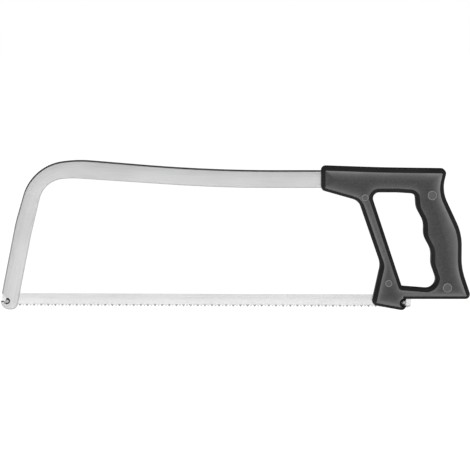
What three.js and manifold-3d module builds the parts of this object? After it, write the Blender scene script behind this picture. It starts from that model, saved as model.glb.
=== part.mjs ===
// Butcher's bow saw: a bent flat steel bow, a pinned toothed blade and a black D handle in two halves.
// Millimetres. X runs from the toe to the handle, Y across the thickness and Z up.
// The origin is the centre of the grip.

import * as THREE from "three";
import { mergeVertices } from "three/addons/utils/BufferGeometryUtils.js";
import Module from "manifold-3d";

const wasm = await Module();
wasm.setup();

// Blade and its two cross pins
const PIN_SPAN = 400;
const BLADE_TILT = 0.19;
const BLADE_BACK = 7.7;
const BLADE_DEPTH = 13.1;
const BLADE_THICKNESS = 0.7;
const BLADE_TOE_OVERHANG = 5.5;
const BLADE_HEEL_OVERHANG = 7;
const BLADE_CORNER = 3.5;
const PLAIN_LENGTH = 8;
const TOOTH_PITCH = 3.59;
const TOOTH_SHIFT = 0.8;
const TOOTH_DEPTH = 2.3;
const TOOTH_SET = 0.3;
const PIN_RADIUS = 2;
const PIN_LENGTH = 9;
const PIN_CHAMFER = 0.5;
const PIN_FIT = 0.1;

// Steel bow
const BAR_WIDTH = 17.9;
const BAR_THICKNESS = 5;
const BAR_EDGE = 1.3;
const SPINE_TOP = 70.5;
const SAG_FROM_NOSE = 111;
const SAG_REACH = 66;
const UNDER_SAG_FROM_NOSE = 100;
const UNDER_SAG_REACH = 48;
const CROWN_FROM_TOE_PIN = 72.3;
const CROWN_HEIGHT = 143;
const CROWN_REACH = 12.8;
const BEND_FROM_TOE_PIN = 25.6;
const BEND_DROP = 5.6;
const BEND_RADIUS = 48;
const SHOULDER_HEIGHT = 79.4;
const SHOULDER_FROM_TOE_PIN = 8.7;
const SHOULDER_RADIUS = 200;
const INNER_CROWN_REACH = 5.3;
const INNER_BEND_RADIUS = 26.4;
const INNER_BEND_BACK_SHARE = 0.69;
const INNER_BEND_DROP_SHARE = 0.845;
const INNER_CROWN_FRONT_SHARE = 0.27;
const INNER_CROWN_DROP_SHARE = 1.06;
const INNER_SHOULDER_HEIGHT = 67.4;
const ARM_LEAN = 11.35;
const TOE_BELOW_PIN = 8.9;
const TOE_FRONT_SHARE = 0.6;
const TOE_REAR_SHARE = 0.29;
const TANG_LENGTH = 73;
const TANG_CORNER = 4;
const LEG_WALL = 3;
const LEG_FILLET = 3;
const PLATE_WALL = 3;
const PLATE_BELOW_OPENING = 4.6;

// Notches for the pins and the saw cuts for the blade
const KERF = 1.8;
const KERF_ABOVE_BLADE = 1.5;
const SEAT_GAP = 0.5;
const TOE_SEAT_GAP = 0.9;
const TOE_SEAT_SHIFT = 0.5;
const TOE_LEDGE_BELOW_PIN = 0.2;
const TOE_MOUTH_SLOPE = 47;
const TOE_MOUTH_FROM_PIN = 1;
const PIN_SIDE_GAP = 0.4;
const CHEEK = 2;
const SCOOP_RADIUS = 4;
const HEEL_PIN_FROM_REAR = 1.8;
const HEEL_PIN_BELOW_HANDLE = 3.75;

// Handle outline, from the centre of the grip
const HANDLE_THICKNESS = 20;
const HANDLE_EDGE = 4.4;
const FACE_CORNER = 0.4;
const PARTING_GAP = 0.1;
const POCKET_GAP = 0.3;
const NOSE_X = -123;
const NOSE_TOP_Z = 75.2;
const NOSE_UNDER_Z = 50.9;
const TOP_DIP_X = -62;
const TOP_DIP_Z = 73.05;
const TOP_DIP_RADIUS = 1500;
const SPUR_X = 3.6;
const SPUR_Z = 72.2;
const WEB_X = -1.8;
const WEB_Z = 50.4;
const WEB_RADIUS = 34;
const PALM_X = 18.6;
const PALM_HIGH_Z = 7;
const PALM_HIGH_RADIUS = 55;
const PALM_LOW_Z = -28.2;
const PALM_LOW_RADIUS = 65;
const TAIL_X = 29.2;
const HANDLE_BOTTOM_Z = -59.2;
const FOOT_REAR_X = -36.9;
const FOOT_BOTTOM_Z = -71.4;
const FOOT_FRONT_X = -71.9;
const FOOT_FRONT_Z = -65.1;
const WAIST_X = -63;
const WAIST_Z = -24.2;
const WAIST_RADIUS = 18;
const STRUT_TOP_X = -85.4;
const STRUT_TOP_Z = 40.2;
const STRUT_TOP_RADIUS = 12;

// Finger opening of the handle
const OPENING_TOP_Z = 48.5;
const OPENING_FRONT_X = -73.2;
const OPENING_FRONT_RADIUS = 6;
const OPENING_SLOPE_X = -47;
const OPENING_SLOPE_RADIUS = 60;
const OPENING_REAR_X = -28.9;
const OPENING_REAR_Z = 47.3;
const OPENING_REAR_RADIUS = 5;
const RIDGE_TOP_X = -27.7;
const RIDGE_TOP_Z = 32.9;
const RIDGE_COUNT = 3;
const RIDGE_STEP_X = 7.55;
const RIDGE_STEP_Z = 28.4;
const RIDGE_DEPTH = 4;
const RIDGE_RADIUS = 20;
const OPENING_LOW_REAR_X = -3.4;
const OPENING_LOW_REAR_Z = -49.7;
const OPENING_LOW_REAR_RADIUS = 9.3;
const OPENING_LOW_FRONT_X = -41.2;
const OPENING_LOW_FRONT_Z = -46.7;
const OPENING_LOW_FRONT_RADIUS = 1.5;
const KNEE_X = -45.9;
const KNEE_Z = -33;
const KNEE_RADIUS = 60;

// Screws, nuts and plugs of the handle
const FRONT_TOP_Z = 43.5;
const FRONT_LOW_Z = -43;
const REAR_TOP_FROM_WEB_X = 9.9;
const REAR_TOP_BELOW_WEB = 4.6;
const REAR_LOW_FROM_TAIL_X = 25;
const REAR_LOW_ABOVE_BOTTOM = 11.8;
const FRONT_SCREW = { shank: 1.5, head: 2.7, headHeight: 1.8, nutAcross: 5.5, nutHeight: 2.4, plug: 3.6 };
const REAR_SCREW = { shank: 2, head: 3.4, headHeight: 2.2, nutAcross: 7, nutHeight: 3.2, plug: 4.7 };
const SCREW_BEVEL = 0.35;
const SOCKET_SHARE = 0.5;
const PLUG_THICKNESS = 1.6;
const PLUG_SUNK = 0.15;
const PLUG_RIM = 0.8;
const PLUG_DISH = 0.2;
const FASTENER_GAP = 0.2;

// Fineness of the facets
const ARC_TOLERANCE = 0.06;
const ROUND_SIDES = 20;
const HANDLE_EDGE_STEPS = 3;
const BAR_EDGE_STEPS = 2;
const PAST = 30;

// Outlines: closed rows of corners in the XZ plane, each with the radius of its rounding
const corner = (x, z, r = 0) => ({ x, z, r });
const radians = (degrees) => (degrees * Math.PI) / 180;

function direction(from, to) {
  const length = Math.hypot(to.x - from.x, to.z - from.z);
  return { x: (to.x - from.x) / length, z: (to.z - from.z) / length };
}

// The angle by which an outline turns at one corner, to the left as positive
function turnAt(before, here, after) {
  const a = direction(before, here);
  const b = direction(here, after);
  return Math.atan2(a.x * b.z - a.z * b.x, a.x * b.x + a.z * b.z);
}

// An edge moved sideways to the left of its direction
function movedEdge(from, to, distance) {
  const d = direction(from, to);
  const shift = (p) => corner(p.x - d.z * distance, p.z + d.x * distance);
  return [shift(from), shift(to)];
}

// The corner where two edges cross when they are made longer
function crossing([a, b], [c, d], r = 0) {
  const u = direction(a, b);
  const v = direction(c, d);
  const t = ((c.x - a.x) * v.z - (c.z - a.z) * v.x) / (u.x * v.z - u.z * v.x);
  return corner(a.x + u.x * t, a.z + u.z * t, r);
}

// X on the line through two points, at a height
function xAt(a, b, z) {
  return a.x + ((b.x - a.x) * (z - a.z)) / (b.z - a.z);
}

// The whole outline moved to its left, which is inward for an anticlockwise one
function movedOutline(corners, distance) {
  return corners.map((here, i) => {
    const before = corners.at(i - 1);
    const after = corners[(i + 1) % corners.length];
    const moved = crossing(movedEdge(before, here, distance), movedEdge(here, after, distance));
    const bend = Math.sign(turnAt(before, here, after));
    moved.r = here.r === 0 ? 0 : Math.max(here.r - bend * distance, 0);
    return moved;
  });
}

// Points of an outline, with each rounded corner as an arc
function outlinePoints(corners) {
  const points = [];
  corners.forEach((here, i) => {
    if (here.r === 0) {
      points.push(new THREE.Vector2(here.x, here.z));
      return;
    }
    const before = corners.at(i - 1);
    const after = corners[(i + 1) % corners.length];
    const turn = turnAt(before, here, after);
    const reach = here.r * Math.tan(Math.abs(turn) / 2);
    const into = direction(before, here);
    const side = Math.sign(turn);
    const x = here.x - into.x * reach - into.z * here.r * side;
    const z = here.z - into.z * reach + into.x * here.r * side;
    const start = Math.atan2(-into.x * side, into.z * side);
    const step = 2 * Math.acos(1 - ARC_TOLERANCE / here.r);
    const count = Math.max(2, Math.ceil(Math.abs(turn) / step));
    const arc = new THREE.EllipseCurve(x, z, here.r, here.r, start, start + turn, turn < 0);
    points.push(...arc.getPoints(count));
  });
  return points;
}

// A radius that makes a rounding reach a given length along its edges
function radiusForReach(before, here, after, reach) {
  return reach / Math.tan(Math.abs(turnAt(before, here, after)) / 2);
}

// A plate with its outline in XZ, centred on Y = 0, with rounded edges where an edge radius is given
function plate(shape, thickness, edge = 0, steps = 1) {
  const geometry = new THREE.ExtrudeGeometry(shape, {
    depth: thickness - 2 * edge,
    bevelEnabled: edge > 0,
    bevelThickness: edge,
    bevelSize: edge,
    bevelOffset: -edge,
    bevelSegments: steps,
  });
  geometry.translate(0, 0, edge - thickness / 2);
  return geometry.rotateX(Math.PI / 2);
}

function box(xLow, xHigh, yLow, yHigh, zLow, zHigh) {
  const geometry = new THREE.BoxGeometry(xHigh - xLow, yHigh - yLow, zHigh - zLow);
  return geometry.translate((xLow + xHigh) / 2, (yLow + yHigh) / 2, (zLow + zHigh) / 2);
}

// A round bar along Y
function rod(radius, yLow, yHigh, x, z) {
  const geometry = new THREE.CylinderGeometry(radius, radius, yHigh - yLow, ROUND_SIDES);
  return geometry.translate(x, (yLow + yHigh) / 2, z);
}

// Solids for joining and cutting
function solid(geometry) {
  const bare = geometry.clone();
  bare.deleteAttribute("normal");
  bare.deleteAttribute("uv");
  const merged = mergeVertices(bare, 1e-4);
  const corners = merged.index.array;
  const triangles = [];
  for (let i = 0; i < corners.length; i += 3) {
    const [a, b, c] = [corners[i], corners[i + 1], corners[i + 2]];
    if (a !== b && b !== c && c !== a) triangles.push(a, b, c);
  }
  const mesh = new wasm.Mesh({
    numProp: 3,
    vertProperties: new Float32Array(merged.attributes.position.array),
    triVerts: new Uint32Array(triangles),
  });
  return new wasm.Manifold(mesh);
}

function cut(body, ...tools) {
  return tools.reduce((left, tool) => left.subtract(solid(tool)), body);
}

function geometryOf(body) {
  const mesh = body.getMesh();
  const geometry = new THREE.BufferGeometry();
  const positions = new THREE.BufferAttribute(new Float32Array(mesh.vertProperties), 3);
  geometry.setAttribute("position", positions);
  geometry.setIndex(new THREE.BufferAttribute(new Uint32Array(mesh.triVerts), 1));
  geometry.computeVertexNormals();
  return geometry;
}

// Materials
const brightSteel = () => new THREE.MeshStandardMaterial({ color: 0xcfd1d3, roughness: 0.32, metalness: 1 });
const bladeSteel = () => new THREE.MeshStandardMaterial({ color: 0xe2e3e4, roughness: 0.25, metalness: 1 });
const pinSteel = () => new THREE.MeshStandardMaterial({ color: 0xb8babc, roughness: 0.3, metalness: 1 });
const zincSteel = () => new THREE.MeshStandardMaterial({ color: 0xa9acb0, roughness: 0.4, metalness: 1 });
const blackGrip = () => new THREE.MeshStandardMaterial({ color: 0x262627, roughness: 0.6, metalness: 0 });
const blackPlug = () => new THREE.MeshStandardMaterial({ color: 0x2e2e30, roughness: 0.5, metalness: 0 });

const saw = new THREE.Group();
function place(name, geometry, material, parent = saw) {
  const mesh = new THREE.Mesh(geometry, material);
  mesh.name = name;
  parent.add(mesh);
  return mesh;
}

// Handle corners, anticlockwise from the nose; the flat faces keep a small rounding inside the edges
const outerCorner = HANDLE_EDGE + FACE_CORNER;
const noseTop = corner(NOSE_X, NOSE_TOP_Z, outerCorner);
const noseUnder = corner(NOSE_X, NOSE_UNDER_Z, outerCorner);
const strutTop = corner(STRUT_TOP_X, STRUT_TOP_Z, STRUT_TOP_RADIUS);
const waist = corner(WAIST_X, WAIST_Z, WAIST_RADIUS);
const footFront = corner(FOOT_FRONT_X, FOOT_FRONT_Z, outerCorner);
const footHeel = corner(FOOT_REAR_X, FOOT_BOTTOM_Z, outerCorner);
const handleOutline = [
  noseTop,
  noseUnder,
  strutTop,
  waist,
  footFront,
  footHeel,
  corner(FOOT_REAR_X, HANDLE_BOTTOM_Z),
  corner(TAIL_X, HANDLE_BOTTOM_Z, outerCorner),
  corner(PALM_X, PALM_LOW_Z, PALM_LOW_RADIUS),
  corner(PALM_X, PALM_HIGH_Z, PALM_HIGH_RADIUS),
  corner(WEB_X, WEB_Z, WEB_RADIUS),
  corner(SPUR_X, SPUR_Z, outerCorner),
  corner(TOP_DIP_X, TOP_DIP_Z, TOP_DIP_RADIUS),
];

// Finger opening, clockwise from its top front corner, with a ridge between each two fingers
const openingFront = corner(OPENING_FRONT_X, OPENING_TOP_Z, OPENING_FRONT_RADIUS);
const openingLow = corner(OPENING_LOW_FRONT_X, OPENING_LOW_FRONT_Z, OPENING_LOW_FRONT_RADIUS);
const knee = corner(KNEE_X, KNEE_Z, KNEE_RADIUS);
const openingOutline = [
  openingFront,
  corner(OPENING_SLOPE_X, OPENING_TOP_Z, OPENING_SLOPE_RADIUS),
  corner(OPENING_REAR_X, OPENING_REAR_Z, OPENING_REAR_RADIUS),
];
for (let i = 0; i < RIDGE_COUNT; i += 1) {
  const x = RIDGE_TOP_X + i * RIDGE_STEP_X;
  const z = RIDGE_TOP_Z - i * RIDGE_STEP_Z;
  openingOutline.push(corner(x, z, RIDGE_RADIUS));
  if (i < RIDGE_COUNT - 1) {
    openingOutline.push(corner(x + RIDGE_STEP_X / 2 + RIDGE_DEPTH, z - RIDGE_STEP_Z / 2, RIDGE_RADIUS));
  }
}
const openingLowRear = corner(OPENING_LOW_REAR_X, OPENING_LOW_REAR_Z, OPENING_LOW_REAR_RADIUS);
openingOutline.push(openingLowRear, openingLow, knee);

// Pins: the rear one sits in the foot of the handle, the front one a blade length ahead of it
const tilt = radians(BLADE_TILT);
const heelPin = corner(FOOT_REAR_X - HEEL_PIN_FROM_REAR, HANDLE_BOTTOM_Z - HEEL_PIN_BELOW_HANDLE);
const toePin = corner(heelPin.x - PIN_SPAN * Math.cos(tilt), heelPin.z + PIN_SPAN * Math.sin(tilt));
const seatRadius = PIN_RADIUS + SEAT_GAP;

// Outer edge of the bow, from the nose over the crown to the toe
const crown = corner(toePin.x + CROWN_FROM_TOE_PIN, toePin.z + CROWN_HEIGHT);
const bend = corner(toePin.x + BEND_FROM_TOE_PIN, crown.z - BEND_DROP, BEND_RADIUS);
const lean = Math.tan(radians(ARM_LEAN));
const shoulder = corner(toePin.x + SHOULDER_FROM_TOE_PIN, toePin.z + SHOULDER_HEIGHT, SHOULDER_RADIUS);
const armOuterX = (z) => shoulder.x - (shoulder.z - z) * lean;
const toeZ = toePin.z - TOE_BELOW_PIN;
const tangTop = corner(NOSE_X + TANG_LENGTH, SPINE_TOP, TANG_CORNER);
const sag = corner(NOSE_X - SAG_FROM_NOSE, SPINE_TOP);
sag.r = radiusForReach(tangTop, sag, crown, SAG_REACH);
crown.r = radiusForReach(sag, crown, bend, CROWN_REACH);

// Inner edge of the bow, one bar width inside it, from the toe back to the nose
const armWidth = BAR_WIDTH / Math.cos(radians(ARM_LEAN));
const armInnerX = (z) => armOuterX(z) + armWidth;
const innerShoulderZ = toePin.z + INNER_SHOULDER_HEIGHT;
const innerShoulder = corner(armInnerX(innerShoulderZ), innerShoulderZ, SHOULDER_RADIUS);
const toeFront = corner(armOuterX(toeZ), toeZ);
const toeRear = corner(armInnerX(toeZ), toeZ);
toeFront.r = radiusForReach(shoulder, toeFront, toeRear, TOE_FRONT_SHARE * armWidth);
toeRear.r = radiusForReach(toeFront, toeRear, innerShoulder, TOE_REAR_SHARE * armWidth);
const innerBend = corner(
  bend.x + INNER_BEND_BACK_SHARE * BAR_WIDTH,
  bend.z - INNER_BEND_DROP_SHARE * BAR_WIDTH,
  INNER_BEND_RADIUS,
);
const innerCrown = corner(
  crown.x - INNER_CROWN_FRONT_SHARE * BAR_WIDTH,
  crown.z - INNER_CROWN_DROP_SHARE * BAR_WIDTH,
);
const spineUnderZ = SPINE_TOP - BAR_WIDTH;
const underSag = corner(NOSE_X - UNDER_SAG_FROM_NOSE, spineUnderZ);
const tangUnder = corner(tangTop.x, spineUnderZ, TANG_CORNER);
underSag.r = radiusForReach(innerCrown, underSag, tangUnder, UNDER_SAG_REACH);
innerCrown.r = radiusForReach(innerBend, innerCrown, underSag, INNER_CROWN_REACH);

// Inside the handle: a tang along the top, a leg down the strut and a plate in the foot
const underside = [underSag, tangUnder];
const legFront = movedEdge(strutTop, waist, LEG_WALL);
const plateFront = movedEdge(waist, footFront, LEG_WALL);
const plateBottom = movedEdge(footFront, footHeel, PLATE_WALL);
const plateRear = [corner(heelPin.x, FOOT_BOTTOM_Z), corner(heelPin.x, HANDLE_BOTTOM_Z)];
const plateTopZ = OPENING_LOW_FRONT_Z - PLATE_BELOW_OPENING;
const plateTop = [corner(heelPin.x, plateTopZ), corner(FOOT_FRONT_X, plateTopZ)];
const legRearLow = movedEdge(openingLow, knee, LEG_WALL);
const legRear = movedEdge(knee, openingFront, LEG_WALL);
const bowOutline = [
  tangTop,
  sag,
  crown,
  bend,
  shoulder,
  toeFront,
  toeRear,
  innerShoulder,
  innerBend,
  innerCrown,
  underSag,
  crossing(underside, legFront, LEG_FILLET),
  crossing(legFront, plateFront, WAIST_RADIUS),
  crossing(plateFront, plateBottom, LEG_FILLET),
  crossing(plateBottom, plateRear),
  crossing(plateRear, plateTop),
  crossing(plateTop, legRearLow),
  crossing(legRearLow, legRear, LEG_FILLET),
  crossing(legRear, underside, LEG_FILLET),
  tangUnder,
];

// Screw places: two on the middle of the strut, through the steel, and two in the grip
const strutMiddle = (front, rear, z) => (xAt(...front, z) + xAt(...rear, z)) / 2;
const fastenings = [
  {
    name: "front_top",
    x: strutMiddle([strutTop, waist], [openingFront, knee], FRONT_TOP_Z),
    z: FRONT_TOP_Z,
    size: FRONT_SCREW,
  },
  {
    name: "front_low",
    x: strutMiddle([waist, footFront], [knee, openingLow], FRONT_LOW_Z),
    z: FRONT_LOW_Z,
    size: FRONT_SCREW,
  },
  {
    name: "rear_top",
    x: WEB_X - REAR_TOP_FROM_WEB_X,
    z: WEB_Z - REAR_TOP_BELOW_WEB,
    size: REAR_SCREW,
  },
  {
    name: "rear_low",
    x: TAIL_X - REAR_LOW_FROM_TAIL_X,
    z: HANDLE_BOTTOM_Z + REAR_LOW_ABOVE_BOTTOM,
    size: REAR_SCREW,
  },
];

// Shared cuts: the pin's way into the foot from below and behind, and the blade's saw cut there
const bladeBackAtHeel = heelPin.z + BLADE_BACK;
function pinWay(halfWidth) {
  const way = box(
    heelPin.x - seatRadius, FOOT_REAR_X + PAST,
    -halfWidth, halfWidth,
    FOOT_BOTTOM_Z - PAST, heelPin.z,
  );
  const behind = box(
    heelPin.x, FOOT_REAR_X + PAST,
    -halfWidth, halfWidth,
    heelPin.z - seatRadius, heelPin.z + seatRadius,
  );
  return [way, behind, rod(seatRadius, -halfWidth, halfWidth, heelPin.x, heelPin.z)];
}
const bladeTopInFoot = bladeBackAtHeel + Math.tan(tilt) * (FOOT_REAR_X - FOOT_FRONT_X);
const heelKerf = box(
  FOOT_FRONT_X - PAST, FOOT_REAR_X + PAST,
  -KERF / 2, KERF / 2,
  FOOT_BOTTOM_Z - PAST, bladeTopInFoot + KERF_ABOVE_BLADE,
);

// Bow with its toe notch, saw cuts and screw holes
const bowShape = new THREE.Shape(outlinePoints(bowOutline));
let bow = solid(plate(bowShape, BAR_THICKNESS, BAR_EDGE, BAR_EDGE_STEPS));
const bladeSwing = Math.hypot(BLADE_BACK, BLADE_TOE_OVERHANG);
const toeKerf = box(
  toePin.x - PAST, toePin.x + PAST,
  -KERF / 2, KERF / 2,
  toeZ - PAST, toePin.z + bladeSwing + KERF_ABOVE_BLADE,
);
const mouthRise = PAST * Math.tan(radians(TOE_MOUTH_SLOPE));
const toeSeatRadius = PIN_RADIUS + TOE_SEAT_GAP;
const toeSeat = corner(toePin.x - TOE_SEAT_SHIFT, toePin.z);
const ledgeZ = toePin.z - TOE_LEDGE_BELOW_PIN;
const mouthTopZ = toePin.z + toeSeatRadius;
const mouth = [
  corner(toePin.x - TOE_MOUTH_FROM_PIN - PAST, ledgeZ),
  corner(toeSeat.x, ledgeZ),
  corner(toeSeat.x, mouthTopZ),
  corner(toePin.x - TOE_MOUTH_FROM_PIN, mouthTopZ),
  corner(toePin.x - TOE_MOUTH_FROM_PIN - PAST, mouthTopZ + mouthRise),
];
bow = cut(
  bow,
  plate(new THREE.Shape(outlinePoints(mouth)), BAR_THICKNESS + 2),
  rod(toeSeatRadius, -BAR_THICKNESS, BAR_THICKNESS, toeSeat.x, toeSeat.z),
  toeKerf,
  heelKerf,
  ...pinWay(BAR_THICKNESS),
);
for (const { x, z, size } of fastenings) {
  bow = cut(bow, rod(size.shank + POCKET_GAP, -BAR_THICKNESS, BAR_THICKNESS, x, z));
}
place("bow_frame", geometryOf(bow), brightSteel());

// Handle: one rounded D, cut for the steel, the blade and the rear pin, then parted along the middle
const halfHandle = HANDLE_THICKNESS / 2;
const handleShape = new THREE.Shape(outlinePoints(handleOutline));
handleShape.holes.push(new THREE.Path(outlinePoints(openingOutline)));
const pocketShape = new THREE.Shape(outlinePoints(movedOutline(bowOutline, -POCKET_GAP)));
const pinHalf = PIN_LENGTH / 2 + PIN_SIDE_GAP;
const scoopFloor = pinHalf + CHEEK;
const wholeHandle = cut(
  solid(plate(handleShape, HANDLE_THICKNESS, HANDLE_EDGE, HANDLE_EDGE_STEPS)),
  plate(pocketShape, BAR_THICKNESS + 2 * POCKET_GAP),
  heelKerf,
  ...pinWay(pinHalf),
  box(
    heelPin.x, FOOT_REAR_X + PAST,
    -halfHandle - 1, halfHandle + 1,
    heelPin.z - seatRadius, heelPin.z + seatRadius,
  ),
  rod(seatRadius, -halfHandle - 1, halfHandle + 1, heelPin.x, heelPin.z),
  rod(SCOOP_RADIUS, -halfHandle - 1, -scoopFloor, heelPin.x, heelPin.z),
  rod(SCOOP_RADIUS, scoopFloor, halfHandle + 1, heelPin.x, heelPin.z),
);

// Depths of a fastening below the side face: plug, then the screw head or the nut
const plugFloor = halfHandle - PLUG_SUNK - PLUG_THICKNESS - FASTENER_GAP;
const headSeat = (size) => plugFloor - size.headHeight - FASTENER_GAP;
const nutSeat = (size) => plugFloor - size.nutHeight - FASTENER_GAP;
const hexagon = (across) => {
  const geometry = new THREE.CylinderGeometry(1, 1, 1, 6).rotateY(Math.PI / 6);
  return geometry.scale(across / Math.sqrt(3), 1, across / Math.sqrt(3));
};

const sideOf = (yLow, yHigh) => box(
  NOSE_X - PAST, TAIL_X + PAST,
  yLow, yHigh,
  FOOT_BOTTOM_Z - PAST, NOSE_TOP_Z + PAST,
);
let nearHalf = cut(wholeHandle, sideOf(-PARTING_GAP / 2, HANDLE_THICKNESS));
let farHalf = cut(wholeHandle, sideOf(-HANDLE_THICKNESS, PARTING_GAP / 2));
for (const { x, z, size } of fastenings) {
  const shankHole = rod(size.shank + FASTENER_GAP, -halfHandle, halfHandle, x, z);
  const headBore = rod(size.plug + FASTENER_GAP, -halfHandle - 1, -headSeat(size), x, z);
  const plugBore = rod(size.plug + FASTENER_GAP, plugFloor, halfHandle + 1, x, z);
  const nutHeight = halfHandle - nutSeat(size);
  const nutPocket = hexagon(size.nutAcross + 2 * FASTENER_GAP).scale(1, nutHeight, 1);
  nutPocket.translate(x, nutSeat(size) + nutHeight / 2, z);
  nearHalf = cut(nearHalf, shankHole, headBore);
  farHalf = cut(farHalf, shankHole, plugBore, nutPocket);
}
place("handle_near_half", geometryOf(nearHalf), blackGrip());
place("handle_far_half", geometryOf(farHalf), blackGrip());

// Screws, nuts and plugs
function revolved(profile) {
  const points = profile.map(([r, y]) => new THREE.Vector2(r, y));
  return new THREE.LatheGeometry(points, ROUND_SIDES);
}
for (const { name, x, z, size } of fastenings) {
  const seat = -headSeat(size) - FASTENER_GAP / 2;
  const tip = nutSeat(size) + size.nutHeight;
  const headTop = seat - size.headHeight;
  const screwBody = solid(revolved([
    [0, headTop],
    [size.head - SCREW_BEVEL, headTop],
    [size.head, headTop + SCREW_BEVEL],
    [size.head, seat],
    [size.shank, seat],
    [size.shank, tip - SCREW_BEVEL],
    [size.shank - SCREW_BEVEL, tip],
    [0, tip],
  ]));
  const socket = hexagon(size.head).scale(1, 2 * SOCKET_SHARE * size.headHeight, 1).translate(0, headTop, 0);
  const screw = place(`screw_${name}`, geometryOf(cut(screwBody, socket)), zincSteel());
  screw.position.set(x, 0, z);

  const nutBody = solid(hexagon(size.nutAcross).scale(1, size.nutHeight, 1));
  const nutBore = rod(size.shank + FASTENER_GAP / 2, -size.nutHeight, size.nutHeight, 0, 0);
  const nut = place(`nut_${name}`, geometryOf(cut(nutBody, nutBore)), zincSteel());
  nut.position.set(x, nutSeat(size) + FASTENER_GAP / 2 + size.nutHeight / 2, z);

  const plugProfile = [
    [0, 0],
    [size.plug - PLUG_RIM / 2, 0],
    [size.plug, PLUG_RIM / 2],
    [size.plug, PLUG_THICKNESS - PLUG_DISH],
    [size.plug - PLUG_DISH, PLUG_THICKNESS],
    [size.plug - PLUG_RIM, PLUG_THICKNESS],
    [size.plug - PLUG_RIM - PLUG_DISH, PLUG_THICKNESS - PLUG_DISH],
    [0, PLUG_THICKNESS - PLUG_DISH],
  ];
  const plugBase = halfHandle - PLUG_SUNK - PLUG_THICKNESS;
  const plugGeometry = geometryOf(solid(revolved(plugProfile)));
  const farPlug = place(`plug_far_${name}`, plugGeometry, blackPlug());
  farPlug.position.set(x, plugBase, z);
  const nearPlug = place(`plug_near_${name}`, plugGeometry.clone(), blackPlug());
  nearPlug.position.set(x, -plugBase, z);
  nearPlug.rotation.x = Math.PI;
}

// Blade and pins, in a group hung on the toe pin and tilted down to the heel
const bladeGroup = new THREE.Group();
bladeGroup.position.set(toePin.x, 0, toePin.z);
bladeGroup.rotation.y = tilt;
saw.add(bladeGroup);

const tipZ = BLADE_BACK - BLADE_DEPTH;
const gulletZ = tipZ + TOOTH_DEPTH;
const toothCount = Math.floor((PIN_SPAN - 2 * PLAIN_LENGTH) / TOOTH_PITCH);
const firstTooth = (PIN_SPAN - toothCount * TOOTH_PITCH) / 2 + TOOTH_SHIFT;
const lastGullet = firstTooth + toothCount * TOOTH_PITCH;
const bladeCorners = [
  corner(PIN_SPAN + BLADE_HEEL_OVERHANG, tipZ, BLADE_CORNER),
  corner(PIN_SPAN + BLADE_HEEL_OVERHANG, BLADE_BACK, BLADE_CORNER),
  corner(-BLADE_TOE_OVERHANG, BLADE_BACK, BLADE_CORNER),
  corner(-BLADE_TOE_OVERHANG, tipZ, BLADE_CORNER),
  corner(firstTooth - TOOTH_PITCH / 2, tipZ),
];
for (let i = 0; i < toothCount; i += 1) {
  bladeCorners.push(corner(firstTooth + i * TOOTH_PITCH, gulletZ));
  bladeCorners.push(corner(firstTooth + (i + 0.5) * TOOTH_PITCH, tipZ));
}
bladeCorners.push(corner(lastGullet, gulletZ));
bladeCorners.push(corner(lastGullet + TOOTH_PITCH / 2, tipZ));
const bladeShape = new THREE.Shape(outlinePoints(bladeCorners));
const bladePlate = cut(
  solid(plate(bladeShape, BLADE_THICKNESS)),
  rod(PIN_RADIUS + PIN_FIT, -BLADE_THICKNESS, BLADE_THICKNESS, 0, 0),
  rod(PIN_RADIUS + PIN_FIT, -BLADE_THICKNESS, BLADE_THICKNESS, PIN_SPAN, 0),
);
const bladeGeometry = geometryOf(bladePlate);

// Alternate tooth tips are set to the near and the far side, and the plain ends stay flat
const spots = bladeGeometry.attributes.position;
for (let i = 0; i < spots.count; i += 1) {
  const x = spots.getX(i);
  const isTip = spots.getZ(i) < gulletZ - TOOTH_DEPTH / 2 && x > firstTooth && x < lastGullet;
  if (isTip) {
    const tooth = Math.floor((x - firstTooth) / TOOTH_PITCH);
    spots.setY(i, spots.getY(i) + (tooth % 2 === 0 ? -TOOTH_SET : TOOTH_SET));
  }
}
place("blade", bladeGeometry, bladeSteel(), bladeGroup);

const pinProfile = [
  [0, -PIN_LENGTH / 2],
  [PIN_RADIUS - PIN_CHAMFER, -PIN_LENGTH / 2],
  [PIN_RADIUS, PIN_CHAMFER - PIN_LENGTH / 2],
  [PIN_RADIUS, PIN_LENGTH / 2 - PIN_CHAMFER],
  [PIN_RADIUS - PIN_CHAMFER, PIN_LENGTH / 2],
  [0, PIN_LENGTH / 2],
];
place("toe_pin", geometryOf(solid(revolved(pinProfile))), pinSteel(), bladeGroup);
const heelPinMesh = place("heel_pin", geometryOf(solid(revolved(pinProfile))), pinSteel(), bladeGroup);
heelPinMesh.position.x = PIN_SPAN;

export default saw;
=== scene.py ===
# %% [markdown]
# # A butcher's bow saw, dressed in Blender
# The saw is a flat steel bow with a thin toothed blade stretched under it and a black D handle in two
# halves. The frame that is loaded here holds every piece at its real size and place, as plain solids. This
# lesson keeps those places and makes each surface look like the real thing: drawn steel, a ground blade,
# moulded plastic.

# %% Load the frame
import math

import bmesh
import bpy
from mathutils import Matrix, Vector
from mathutils.kdtree import KDTree


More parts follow.
